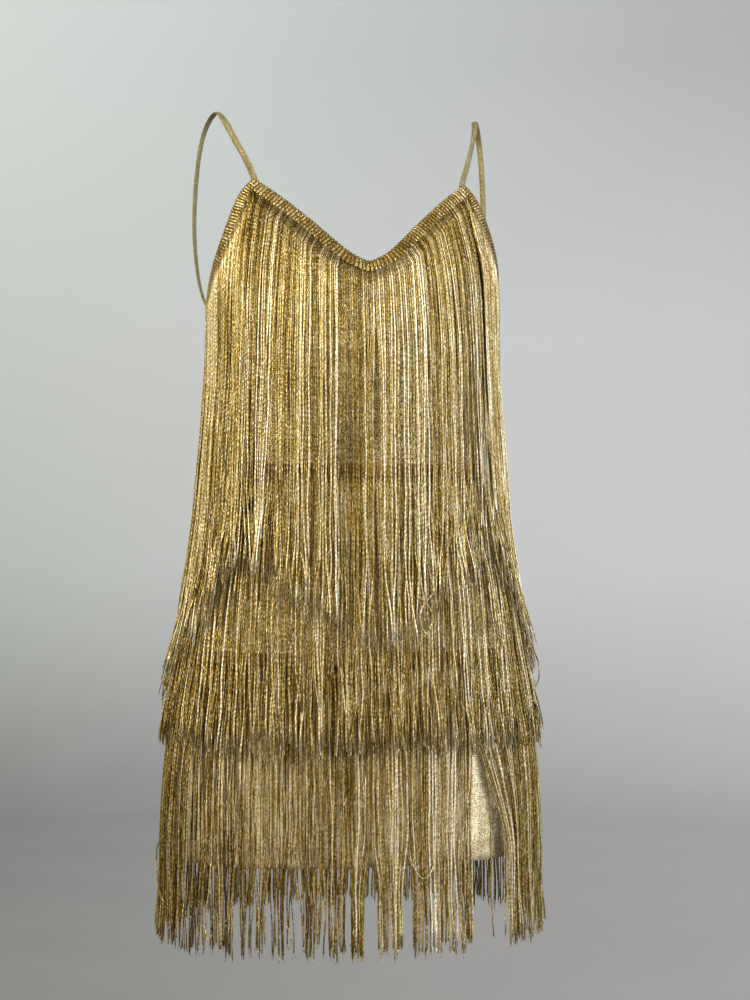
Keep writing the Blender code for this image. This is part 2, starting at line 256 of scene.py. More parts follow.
patches = node(tree, "TexNoise", {"Scale": 60.0, "Detail": 4.0}, {"Vector": cloth}, noise_dimensions="2D")
shade = maths(tree, "MULTIPLY", facet.outputs["Red"], 0.55)
shade = maths(tree, "MULTIPLY_ADD", loops, 0.10, shade)
shade = maths(tree, "MULTIPLY_ADD", patches.outputs[0], 0.40, shade)
# painted light: the knit grows lighter from the waist down to the hips
painted_light_below = node(tree, "MapRange", {"From Min": -0.42, "From Max": -0.60, "To Max": 0.34},
                 {0: apart.outputs["Y"]})
shade = maths(tree, "ADD", painted_light_below.outputs[0], shade)
hue = colour_steps(
    tree, shade, ((0.14, "#423310"), (0.40, "#8b773e"), (0.66, "#c1ae74"), (0.94, "#faf2d2"))
)
height = maths(tree, "MULTIPLY_ADD", facet.outputs["Green"], 0.5, loops)
bump = node(tree, "Bump", {"Strength": 0.55, "Distance": 0.0003}, {"Height": height})
rough = node(tree, "MapRange", {"To Min": 0.30, "To Max": 0.62}, {0: facet.outputs["Blue"]})
# painted shade: a darker brown band where the sheer hem is turned up double
hem_painted_shade = node(
    tree, "MapRange",
    {"From Min": HEM_Z + HEM_TURN_UP + 0.0005, "From Max": HEM_Z + HEM_TURN_UP - 0.0005, "To Max": 0.28},
    {0: apart.outputs["Y"]},
)
hue = node(tree, "Mix", {7: linear("#6b4c2c")}, {0: hem_painted_shade.outputs[0], 6: hue}, data_type="RGBA").outputs[2]
tree.links.new(hue, shader.inputs["Base Color"])
tree.links.new(rough.outputs[0], shader.inputs["Roughness"])
tree.links.new(bump.outputs[0], shader.inputs["Normal"])
shader.inputs["Metallic"].default_value = 0.45


def grid_mesh(name, points, plan, finish):
    """An object from rows and columns of points, with plan as its UV places in metres."""
    rows, columns, _ = points.shape
    index = np.arange(rows * columns).reshape(rows, columns)
    corners = [index[:-1, :-1], index[1:, :-1], index[1:, 1:], index[:-1, 1:]]
    faces = np.stack(corners, axis=-1).reshape(-1, 4)
    mesh = bpy.data.meshes.new(name)
    mesh.from_pydata(points.reshape(-1, 3).tolist(), [], faces.tolist())
    layer = mesh.uv_layers.new(name="Cloth")
    layer.data.foreach_set("uv", plan.reshape(-1, 2)[faces.reshape(-1)].astype(np.float32).reshape(-1))
    mesh.polygons.foreach_set("use_smooth", np.ones(len(faces), bool))
    mesh.materials.append(finish)
    made = bpy.data.objects.new(name, mesh)
    bpy.context.scene.collection.objects.link(made)
    return made


def slip_half(name, first, last, seam_y):
    """One half of the slip, from its top edge down to the hem and up again inside the turned hem."""
    angle = np.linspace(first, last, KNIT_COLUMNS + 1)
    round_hips = distance_along(oval(SLIP, angle, np.full_like(angle, FULLEST_Z)))
    angle = np.interp(np.linspace(0, 1, KNIT_COLUMNS + 1), round_hips / round_hips[-1], angle)
    top = top_edge(angle)
    share = np.linspace(0, 1, KNIT_ROWS + 1)[:, None]
    z = top + (HEM_Z - top) * share
    inside = np.zeros_like(z)
    turned = np.linspace(0, 1, HEM_ROWS + 1)[:, None]
    z = np.vstack([z, np.repeat(HEM_Z + HEM_TURN_UP * turned, len(angle), axis=1)])
    inside = np.vstack([inside, np.repeat(np.full_like(turned, -HEM_FOLD), len(angle), axis=1)])
    wide = np.repeat(angle[None, :], len(z), axis=0)
    out = inside + knit_ease(wide, z) - KNIT_THICKNESS / 2
    points = oval(SLIP, wide, z) + slip_normal(wide, z) * out[..., None]
    points[:, (0, -1), 1] = seam_y
    along = distance_along(points[..., :2])
    down = np.vstack([z[:KNIT_ROWS + 1], 2 * HEM_Z - z[KNIT_ROWS + 1:]])
    made = grid_mesh(name, points, np.stack([along, down], axis=-1), jersey)
    wall = made.modifiers.new("knit", "SOLIDIFY")
    wall.thickness = KNIT_THICKNESS
    wall.offset = 0.0
    return made


front_knit = slip_half("front_knit", -90.0, 90.0, -SIDE_GAP)
back_knit = slip_half("back_knit", 90.0, 270.0, SIDE_GAP)
for half, stands_for in ((front_knit, "slip_front"), (back_knit, "slip_back")):
    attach(half, "root")
    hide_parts(stands_for)

# The shoulder straps: two narrow flat tubes of the same yarn, knitted round and pressed flat. Each end is
# laid inside the slip, one at the peak of the neck and one at the back, and held with a bar of stitches.
RoutePoint = namedtuple("RoutePoint", "x y z")

STRAP_ROUTE = (
    RoutePoint(0.1065, -0.0335, -0.0550),
    RoutePoint(0.1150, -0.0170, -0.0340),
    RoutePoint(0.1228, 0.0025, -0.0125),
    RoutePoint(0.1290, 0.0265, 0.0009),
    RoutePoint(0.1370, 0.0460, -0.0100),
    RoutePoint(0.1428, 0.0570, -0.0350),
    RoutePoint(0.1468, 0.0635, -0.0850),
    RoutePoint(0.1462, 0.0625, -0.1300),
    RoutePoint(0.1405, 0.0550, -0.1720),
)
STRAP_HALF_WIDTH = 0.0031
STRAP_HALF_THICKNESS = 0.0010
STRAP_TAIL = 0.013
STRAP_INSIDE = -0.0030
STRAP_FRONT_ANGLE = 40.4
STRAP_BACK_ANGLE = 112.0
STRAP_RINGS = 170
STRAP_SIDES = 14
SHOULDER_DEPTH = 0.045
PEAK_Z = -0.0750

Solid = namedtuple("Solid", "points faces plan tone end slot")


def level_outward(form, points, z):
    """Level direction away from a form's outline at points."""
    size = sizes_at(form, z)
    depth = np.where(points[..., 1] < 0, size[..., 1], size[..., 2])
    x, y = points[..., 0] / size[..., 0], points[..., 1] / depth
    gx = np.sign(x) * np.abs(x) ** (OVAL_POWER - 1) / size[..., 0]
    gy = np.sign(y) * np.abs(y) ** (OVAL_POWER - 1) / depth
    return unit(np.stack([gx, gy, np.zeros_like(gx)], axis=-1))


def tubes(paths, facing, half_width, half_thickness, sides, tone, end, slot):
    """Round or flattened tubes along paths, one for each row, closed at both ends.
    facing is the flat side's direction. Widths, tone and end are given at each place on each path."""
    count, rings, _ = paths.shape
    ahead = unit(np.gradient(paths, axis=1))
    across = unit(np.cross(ahead, facing))
    outward = unit(np.cross(across, ahead))
    turn = np.arange(sides) * math.tau / sides
    shape = np.cos(turn), np.sin(turn)
    points = (
        paths[:, :, None]
        + across[:, :, None] * (half_width[..., None] * shape[0])[..., None]
        + outward[:, :, None] * (half_thickness[..., None] * shape[1])[..., None]
    )
    first = (np.arange(count) * rings * sides)[:, None, None] + (np.arange(rings - 1) * sides)[None, :, None]
    here = np.arange(sides)[None, None]
    following = (here + 1) % sides
    corners = [first + here, first + following, first + sides + following, first + sides + here]
    walls = np.stack(corners, axis=-1)
    length = distance_along(paths)
    girth = math.tau * 0.5 * (half_width + half_thickness)
    around = np.broadcast_to(here / sides, walls.shape[:3])
    beyond = np.broadcast_to((here + 1) / sides, walls.shape[:3])
    wide = np.broadcast_to(girth[:, :-1, None], walls.shape[:3])
    low = np.broadcast_to(length[:, :-1, None], walls.shape[:3])
    high = np.broadcast_to(length[:, 1:, None], walls.shape[:3])
    places = ((around, low), (beyond, low), (beyond, high), (around, high))
    plan = np.stack([np.stack([share * wide, level], axis=-1) for share, level in places], axis=-2)
    row = np.arange(count)[:, None] * rings * sides
    caps = []
    for n in range(1, sides - 1, 2):
        fan = np.array([0, n, n + 1, min(n + 2, sides - 1)])
        caps.append(row + fan[::-1])
        caps.append(row + (rings - 1) * sides + fan)
    caps = np.concatenate(caps)
    faces = np.concatenate([walls.reshape(-1, 4), caps])
    plan = np.concatenate([plan.reshape(-1, 4, 2), np.zeros((len(caps), 4, 2))])
    tone, end = (np.repeat(values[..., None], sides, axis=-1).ravel() for values in (tone, end))
    return Solid(points.reshape(-1, 3), faces, plan, tone, end, slot)


def add_piece(name, solids, finishes):
    """One object from several sets of tubes and strips."""
    starts = np.cumsum([0] + [len(s.points) for s in solids])[:-1]
    points = np.concatenate([s.points for s in solids])
    faces = np.concatenate([s.faces + start for s, start in zip(solids, starts)])
    mesh = bpy.data.meshes.new(name)
    mesh.vertices.add(len(points))
    mesh.vertices.foreach_set("co", points.astype(np.float32).ravel())
    mesh.loops.add(faces.size)
    mesh.loops.foreach_set("vertex_index", faces.astype(np.int32).ravel())
    mesh.polygons.add(len(faces))
    mesh.polygons.foreach_set("loop_start", (np.arange(len(faces)) * 4).astype(np.int32))
    slots = np.concatenate([np.full(len(s.faces), s.slot) for s in solids])
    mesh.polygons.foreach_set("material_index", slots.astype(np.int32))
    mesh.polygons.foreach_set("use_smooth", np.ones(len(faces), bool))
    layer = mesh.uv_layers.new(name="Cloth")
    layer.data.foreach_set("uv", np.concatenate([s.plan for s in solids]).astype(np.float32).ravel())
    for label in ("tone", "end"):
        values = np.concatenate([getattr(s, label) for s in solids]).astype(np.float32)
        mesh.attributes.new(label, "FLOAT", "POINT").data.foreach_set("value", values)
    for finish in finishes:
        mesh.materials.append(finish)
    mesh.update(calc_edges=True)
    mesh.validate()
    made = bpy.data.objects.new(name, mesh)
    bpy.context.scene.collection.objects.link(made)
    return made


def strap_middle():
    """The left strap's middle line: up from inside the peak, over the shoulder, down inside the back."""
    back_z = float(top_edge(STRAP_BACK_ANGLE))
    inner = [
        (STRAP_FRONT_ANGLE, PEAK_Z - STRAP_TAIL, STRAP_INSIDE),
        (STRAP_FRONT_ANGLE, PEAK_Z - STRAP_TAIL / 2, STRAP_INSIDE),
        (STRAP_FRONT_ANGLE, PEAK_Z, STRAP_INSIDE),
    ]
    outer = [
        (STRAP_BACK_ANGLE, back_z + STRAP_TAIL, STRAP_INSIDE),
        (STRAP_BACK_ANGLE, back_z, STRAP_INSIDE),
        (STRAP_BACK_ANGLE, back_z - STRAP_TAIL, STRAP_INSIDE),
    ]

    def inside(places):
        angle, z, out = np.array(places).T
        return oval(SLIP, angle, z) + slip_normal(angle, z) * out[:, None]

    rows = np.concatenate([inside(inner), np.array(STRAP_ROUTE), inside(outer)])
    lengths = distance_along(rows)
    return smooth(lengths, rows, np.linspace(0, lengths[-1], STRAP_RINGS))


# Flat tubular knit: fine upright ribs of foil yarn, a little duller and more olive than the fringe.
strap_knit, tree, shader = material("gold strap knit")
RIB_PITCH = 0.0011
RIB_LOOP_HEIGHT = 0.0016
RIB_FACET = 0.0012
cloth = node(tree, "UVMap", uv_map="Cloth").outputs["UV"]
apart = node(tree, "SeparateXYZ", feeds={0: cloth})
across = maths(tree, "MULTIPLY", apart.outputs["X"], math.tau / RIB_PITCH)
rib = maths(tree, "SINE", across)
up = maths(tree, "MULTIPLY", apart.outputs["Y"], math.tau / RIB_LOOP_HEIGHT)
bent = maths(tree, "MULTIPLY_ADD", rib, 1.6, up)
loop = maths(tree, "SINE", bent)
loops = maths(tree, "ADD", rib, loop)
cells = node(tree, "TexVoronoi", {"Scale": 1 / RIB_FACET}, {"Vector": cloth}, voronoi_dimensions="2D")
cell = node(tree, "SeparateColor", feeds={0: cells.outputs["Color"]})
shade = maths(tree, "MULTIPLY_ADD", loops, 0.12, 0.5)
shade = maths(tree, "MULTIPLY_ADD", cell.outputs["Red"], 0.3, shade)
hue = colour_steps(tree, shade, ((0.2, "#3c3618"), (0.55, "#746a3f"), (0.95, "#b5aa80")))
bump = node(tree, "Bump", {"Strength": 0.6, "Distance": 0.0003}, {"Height": loops})
tree.links.new(hue, shader.inputs["Base Color"])
tree.links.new(bump.outputs[0], shader.inputs["Normal"])
shader.inputs["Roughness"].default_value = 0.45
shader.inputs["Metallic"].default_value = 0.35


def strap(name, side):
    """One strap, lying flat against the body, wide face outward and upward over the shoulder."""
    middle = strap_middle()
    upward = np.maximum(0.0, 1.0 + middle[:, 2] / SHOULDER_DEPTH)[:, None]
    facing = level_outward(SLIP, middle, middle[:, 2]) * (1 - upward) + np.array([0.0, 0.0, 1.0]) * upward
    middle = middle * np.array([side, 1.0, 1.0])
    facing = facing * np.array([side, 1.0, 1.0])
    flat = np.ones((1, STRAP_RINGS))
    return tubes(
        middle[None], facing[None], flat * STRAP_HALF_WIDTH, flat * STRAP_HALF_THICKNESS,
        STRAP_SIDES, flat * 0.5, flat * 0.0, 0,
    )


for side, name, stands_for in ((1, "left_strap", "strap_left"), (-1, "right_strap", "strap_right")):
    made = add_piece(name, [strap(name, side)], [strap_knit])
    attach(made, "root")
    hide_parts(stands_for)

# The neck fringe: a woven tape with yarns looped round it side by side, sewn along the V neck from peak
# to peak. Two legs of yarn hang from each loop. They leave the tape square to it and fall straight from
# there, and their ends are cut, and fray.
TOP_FORM = (
    Section(-0.080, 0.1470, 0.0620, 0.0900),
    Section(-0.115, 0.1466, 0.0800, 0.0945),
    Section(-0.157, 0.1447, 0.0990, 0.0992),
    Section(-0.215, 0.1416, 0.1107, 0.1024),
    Section(-0.250, 0.1412, 0.1138, 0.1035),
    Section(-0.300, 0.1445, 0.1150, 0.1045),
    Section(-0.352, 0.1490, 0.1160, 0.1060),
    Section(-0.400, 0.1535, 0.1165, 0.1085),
    Section(-0.460, 0.1625, 0.1175, 0.1145),
    Section(-0.520, 0.1715, 0.1185, 0.1235),
    Section(-0.570, 0.1795, 0.1195, 0.1300),
)
TAPE_WIDTH = 0.0105
TAPE_STANDOFF = 0.0006
TAPE_THICKNESS = 0.0005
TAPE_AT_PEAK = 0.0015
TAPE_WIDENING = 1.15
METRES_A_DEGREE = 0.0021
LOOP_RISE = 0.0009
LOOP_SHARE = 0.80
LOOP_HALF_THICKNESS = 0.00062
YARN_STANDOFF = 0.0011
TOP_PITCH = 0.00175
TOP_LENGTH = 0.340
YARN_RADIUS = 0.00057
YARN_STEP = 0.0122
LEAN_LENGTH = 0.018
FRAY_FILAMENTS = 2
FRAY_ROOT = 0.003
FRAY_RADII = (0.00030, 0.00022, 0.00010)
STRAY_RINGS = 18
STRAY_RADIUS = 0.0007
STRAY_OFF = 0.004
STRAY_TONE = 0.52
BARE_ANGLE = -33
BARE_SPAN = 18
PEAK_GAP = 0.1

# A loop's way over the tape: how far down it in shares of its depth, how far off the slip and how high above
# the edge it stands at each stop, and how wide it is there
LoopStop = namedtuple("LoopStop", "down out rise width")

LOOP_PATH = (
    LoopStop(down=-0.35, out=-0.0016, rise=0.0, width=0.80),
    LoopStop(down=-0.12, out=-0.0012, rise=LOOP_RISE, width=0.95),
    LoopStop(down=0.0, out=0.0004, rise=LOOP_RISE, width=1.0),
    LoopStop(down=0.12, out=0.0014, rise=0.0004, width=1.0),
    LoopStop(down=0.35, out=0.0016, rise=0.0, width=1.0),
    LoopStop(down=0.65, out=0.0016, rise=0.0, width=1.0),
    LoopStop(down=0.92, out=0.0015, rise=0.0, width=0.95),
    LoopStop(down=1.0, out=YARN_STANDOFF, rise=0.0, width=0.85),
)

# Places along an edge, their distance from the nearest peak, the tape's depth and the directions there
Places = namedtuple("Places", "angle side from_peak depth here out ahead down")

# What sets one tier's fringe apart. sag is how far its yarns stray sideways, and splay how far the ends do.
# bright is the share of yarns that turn their foil out, the side light how much lighter the wearer's left
# side is painted, as painted light, and thinned how much finer the yarns look where they lie apart.
Fall = namedtuple(
    "Fall", "form length spread pitch radius sides lean sag splay layer tone bright paler thinned partings"
)

# A place in front where the yarns hang parted: the x where they divide, the two sides of the gap, how far
# beside it they are pressed together, and the heights between which it opens
Parting = namedtuple("Parting", "x left right reach closed_z open_z")

TOP_FALL = Fall(
    form=TOP_FORM, length=TOP_LENGTH, spread=0.0080, pitch=TOP_PITCH, radius=YARN_RADIUS, sides=6,
    lean=0.62, sag=0.0007, splay=0.0046, layer=0.0014, tone=0.37, bright=0.34, paler=0.20, thinned=0.0,
    partings=(
        Parting(x=-0.112, left=-0.114, right=-0.110, reach=0.007, closed_z=-0.29, open_z=-0.36),
        Parting(x=-0.094, left=-0.098, right=-0.091, reach=0.010, closed_z=-0.28, open_z=-0.36),
        Parting(x=-0.064, left=-0.066, right=-0.062, reach=0.007, closed_z=-0.29, open_z=-0.36),
        Parting(x=-0.051, left=-0.053, right=-0.050, reach=0.005, closed_z=-0.29, open_z=-0.36),
        Parting(x=-0.031, left=-0.033, right=-0.029, reach=0.008, closed_z=-0.20, open_z=-0.34),
        Parting(x=0.004, left=0.002, right=0.006, reach=0.008, closed_z=-0.18, open_z=-0.30),
        Parting(x=0.052, left=0.050, right=0.054, reach=0.009, closed_z=-0.22, open_z=-0.36),
    ),
)


def spaced_angles(edge, first, last, pitch):
    """Angles along an edge, one every pitch of its length, half a pitch in from its ends."""
    fine = np.linspace(first, last, 1200)
    length = distance_along(oval(SLIP, fine, edge(fine)))
    count = max(int(round(length[-1] / pitch)), 2)
    return np.interp((np.arange(count) + 0.5) * length[-1] / count, length, fine)


def edge_frame(edge, angle):
    """Place, outward, along and down directions at the edge of the slip."""
    here = oval(SLIP, angle, edge(angle))
    ahead = unit(oval(SLIP, angle + 0.4, edge(angle + 0.4)) - oval(SLIP, angle - 0.4, edge(angle - 0.4)))
    out = slip_normal(angle, edge(angle))
    down = unit(np.cross(ahead, out))
    down = np.where(down[:, 2:] > 0, -down, down)
    return here, out, ahead, down


def push_out(form, points, room):
    """Moves points that are inside a form out to its face, by the shortest level way."""
    for _ in range(5):
        size = sizes_at(form, points[:, 2]) + room[:, None]
        depth = np.where(points[:, 1] < 0, size[:, 1], size[:, 2])
        x, y = points[:, 0] / size[:, 0], points[:, 1] / depth
        value = np.abs(x) ** OVAL_POWER + np.abs(y) ** OVAL_POWER
        gx = OVAL_POWER * np.sign(x) * np.abs(x) ** (OVAL_POWER - 1) / size[:, 0]
        gy = OVAL_POWER * np.sign(y) * np.abs(y) ** (OVAL_POWER - 1) / depth
        step = np.maximum(1.0 - value, 0.0) / (gx * gx + gy * gy)
        points = points + np.stack([gx * step, gy * step, np.zeros_like(step)], axis=1)
    return points


def tufts(rng, count):
    """Splits neighbouring yarns into small tufts and returns each yarn's tuft."""
    sizes = rng.choice([1, 2, 3, 4], size=count, p=[0.26, 0.40, 0.24, 0.10])
    return np.repeat(np.arange(count), sizes)[:count]


def group_mean(values, group):
    """The mean of values over each group, given back to its members."""
    total = np.bincount(group, weights=values)
    members = np.maximum(np.bincount(group), 1)
    return (total / members)[group]


def falling(rng, fall, start, direction, place, near_peak):
    """Middle lines of yarns hung from start, in equal steps. place is each one's place along the tape."""
    count = len(start)
    length = fall.length + np.clip(rng.normal(0, fall.spread, count), -3 * fall.spread, 2 * fall.spread)
    short = rng.random(count) < 0.05
    length = length - short * rng.uniform(0.010, 0.045, count)
    steps = int(round(fall.length / YARN_STEP))
    step = (length / steps)[:, None]
    down = np.array([0.0, 0.0, -1.0])
    layer = rng.uniform(0.0, 1.0, count)
    points = start.copy()
    line = [points]
    for n in range(steps):
        gone = (n + 0.5) / steps * length
        settled = ramp(0.0, LEAN_LENGTH, gone)[:, None]
        lean = direction * (1 - settled) * fall.lean * near_peak[:, None]
        heading = unit(lean + down * np.maximum(settled, 1 - fall.lean))
        points = points + heading * step
        room = 0.0002 + layer * fall.layer * ramp(0.0, 0.05, gone)
        points = push_out(fall.form, points, room)
        line.append(points)
    line = np.stack(line, axis=1)
    share = np.linspace(0, 1, steps + 1)[None]
    gone = share * length[:, None]
    left = length[:, None] - gone
    small = tufts(rng, count)
    large = tufts(rng, int(small.max()) + 1)[small] // 3
    pull_small = rng.uniform(0.30, 0.80, count)[small]
    pull_large = rng.uniform(0.0, 0.22, count)[large] * near_peak
    aside = ((group_mean(place, small) - place) * pull_small)[:, None] * ramp(0.01, 0.09, gone)
    aside = aside + ((group_mean(place, large) - place) * pull_large)[:, None] * ramp(0.10, fall.length, gone)
    phase = rng.uniform(0, math.tau, (4, count, 1))
    long_wave = rng.uniform(0.090, 0.170, (count, 1))
    short_wave = rng.uniform(0.030, 0.060, (count, 1))
    growth = 0.15 + 0.85 * ramp(0.0, fall.length * 0.9, gone)
    aside = aside + fall.sag * growth * (
        np.sin(gone / long_wave * math.tau + phase[0])
        + 0.45 * np.sin(gone / short_wave * math.tau + phase[1])
    ) * ramp(0.0, 0.03, gone)
    aside = aside + rng.normal(0, 1, (count, 1)) * fall.splay * ramp(0.085, 0.0, left) ** 1.5
    aside = aside + rng.normal(0, 1, (count, 1)) * fall.sag * 1.5 * ramp(0.03, 0.16, gone)
    keeps = rng.random((count, 1)) > 0.06
    for parting in fall.partings:
        x = line[..., 0] + aside
        off = np.broadcast_to((x[:, -1:] - parting.x), x.shape)
        near = 1 - np.clip(np.abs(x - parting.x) / parting.reach, 0, 1)
        push = np.where(off > 0, parting.right - parting.x, parting.left - parting.x) * near
        opened = ramp(parting.closed_z, parting.open_z, line[..., 2]) * (line[..., 1] < 0) * keeps
        aside = aside + push * opened
    lift = np.abs(rng.normal(0, 1, (count, 1))) * fall.splay * 0.9 * ramp(0.06, 0.0, left) ** 1.5
    lift = lift + 0.0004 * growth * (1 + np.sin(gone / long_wave * math.tau + phase[2]))
    out = level_outward(fall.form, line, line[..., 2])
    along = np.stack([-out[..., 1], out[..., 0], np.zeros_like(out[..., 0])], axis=-1)
    return line + along * aside[..., None] + out * lift[..., None], left


def frayed_ends(rng, line, tone):
    """Fine filaments that carry on from each cut end and spread."""
    tips = line[:, -1]
    heading = unit(line[:, -1] - line[:, -2])
    lines = []
    for _ in range(FRAY_FILAMENTS):
        spread = rng.normal(0, 0.32, tips.shape)
        way = unit(heading + spread)
        bend = unit(heading + spread * 2.0 + np.array([0.0, 0.0, -0.2]))
        length = rng.uniform(0.0018, 0.0058, (len(tips), 1))
        root = tips - heading * FRAY_ROOT
        middle = tips + way * length * 0.4
        lines.append(np.stack([root, middle, tips + way * length * 0.6 + bend * length * 0.4], axis=1))
    lines = np.concatenate(lines)
    tones = np.clip(np.tile(tone, FRAY_FILAMENTS) + 0.02, 0, 1)[:, None] * np.ones((1, 3))
    size = np.repeat(np.array([FRAY_RADII]), len(lines), axis=0)
    facing = np.broadcast_to(np.array([0.0, -1.0, 0.2]), lines.shape)
    return tubes(lines, facing, size, size, 4, tones, np.ones_like(size), 0)


# A yarn pulled out of place: the angles and heights between which it lies, and how far its middle is bowed
# round the body, hangs lower and stands further off
Stray = namedtuple("Stray", "from_angle to_angle from_z to_z bow sag bulge", defaults=(0.0, 0.0, 0.0))


def loose_yarn(form, stray):
    """One yarn pulled out of place, lying on a tier's form in a single bend."""
    share = np.linspace(0, 1, STRAY_RINGS)
    middle = 4 * share * (1 - share)
    angle = stray.from_angle + (stray.to_angle - stray.from_angle) * share + stray.bow * middle
    z = stray.from_z + (stray.to_z - stray.from_z) * share - stray.sag * middle
    line = oval(form, angle, z, STRAY_OFF + stray.bulge * middle)[None]
    flat = np.ones((1, STRAY_RINGS))
    facing = np.broadcast_to(np.array([0.1, -1.0, 0.1]), line.shape)
    return tubes(line, facing, flat * STRAY_RADIUS, flat * STRAY_RADIUS, 6, flat * STRAY_TONE, flat * 0.0, 0)


def laid_bare(angle):
    """How far the yarns lie apart at an angle and let a dark header show."""
    return np.exp(-(((angle + 180) % 360 - 180 - BARE_ANGLE) / BARE_SPAN) ** 2)


def peak_distance(angle, peak_side):
    """Distance along the edge from the nearest peak, or a metre where the tape meets no peak."""
    return np.abs(folded(angle) - PEAK_ANGLE) * METRES_A_DEGREE if peak_side else np.ones(len(angle))


def tape_depth(from_peak):
    """Depth of the tape, which narrows almost to a point where it ends at a peak."""
    return np.minimum(TAPE_WIDTH, TAPE_AT_PEAK + from_peak * TAPE_WIDENING)


def edge_places(edge, first, last, pitch, peak_side):
    """Places one every pitch along an edge. At the foot of the V the yarns leave it nearly upright."""
    angle = spaced_angles(edge, first, last, pitch)
    here, out, ahead, down = edge_frame(edge, angle)
    side = folded(angle)
    upright = (0.92 * (1 - ramp(0.0, 9.0, side)) * peak_side)[:, None]
    straight = unit(np.array([0.0, 0.0, -1.0]) + out * out[:, 2:])
    down = unit(down * (1 - upright) + straight * upright)
    from_peak = peak_distance(angle, peak_side)
    return Places(angle, side, from_peak, tape_depth(from_peak), here, out, ahead, down)


def header_loops(rng, fall, at, dark):
    """The loops, each from behind the edge over it and down the tape's face."""
    count = len(at.angle)
    downs, outs, rises, widths = (np.array(column) for column in zip(*LOOP_PATH))
    jitter = rng.normal(0, 0.00012, (count, 1, 1))
    drop = np.abs(downs)[None, :, None] * at.depth[:, None, None]
    lines = at.here[:, None] + at.down[:, None] * drop
    lines = lines + at.out[:, None] * outs[None, :, None] - at.down[:, None] * rises[None, :, None]
    lines = lines + at.ahead[:, None] * jitter
    wide = fall.pitch * LOOP_SHARE * widths[None] * np.ones((count, 1))
    thick = LOOP_HALF_THICKNESS * np.ones_like(wide)
    in_front = (downs > -0.05)[None, :, None]
    facing = unit(at.out[:, None] * in_front - at.down[:, None] * 0.6 + at.out[:, None] * 0.2)
    tone = np.clip(0.27 + 0.17 * ramp(6.0, 36.0, at.side) + rng.normal(0, 0.08, count), 0, 1)
    if dark is not None:
        turn = np.radians(at.angle)
        worn = ramp(-0.3, 1.2, np.sin(9 * turn + 1.0) + 0.6 * np.sin(23 * turn))
        tone = tone * 0.2 + dark + (0.26 + 0.20 * worn) * (1 - laid_bare(at.angle))
    tone = tone[:, None] * np.ones((1, len(downs)))
    return tubes(lines, facing, wide, thick, fall.sides, tone, np.zeros_like(wide), 0 if dark is None else 1)


def backing_tape(edge, first, last, stations, peak_side, dark):
    """The woven tape under the loops, with eight corners at each station along the edge."""
    angle = np.linspace(first, last, stations)
    here, out, _, down = edge_frame(edge, angle)
    depth = tape_depth(peak_distance(angle, peak_side))
    rows = np.array([0.0, 0.33, 0.66, 1.0])
    centre = here[:, None] + down[:, None] * (rows[None, :, None] * depth[:, None, None] * 0.97)
    outer = centre + out[:, None] * (TAPE_STANDOFF + TAPE_THICKNESS)
    inner = centre + out[:, None] * TAPE_STANDOFF
    ring = np.concatenate([outer, inner[:, ::-1]], axis=1)
    corners = ring.shape[1]
    index = np.arange(stations * corners).reshape(stations, corners)
    after = np.roll(index, -1, axis=1)
    sides = np.stack([index[:-1], after[:-1], after[1:], index[1:]], axis=-1).reshape(-1, 4)
    ends = [index[0, [0, 1, 6, 7]], index[0, [1, 2, 5, 6]], index[0, [2, 3, 4, 5]]]
    ends += [index[-1, [7, 6, 1, 0]], index[-1, [6, 5, 2, 1]], index[-1, [5, 4, 3, 2]]]
    faces = np.concatenate([sides, np.array(ends)])
    along = np.repeat(np.linspace(0, 1, stations)[:, None], corners, axis=1)
    across = np.tile(np.arange(corners) * 0.003, (stations, 1))
    plan = np.stack([along, across], axis=-1).reshape(-1, 2)[faces]
    tone = np.full(stations, 0.24) if dark is None else dark + 0.24 * (1 - laid_bare(angle))
    return Solid(ring.reshape(-1, 3), faces, plan, np.repeat(tone, corners), np.zeros(ring.size // 3), 1)


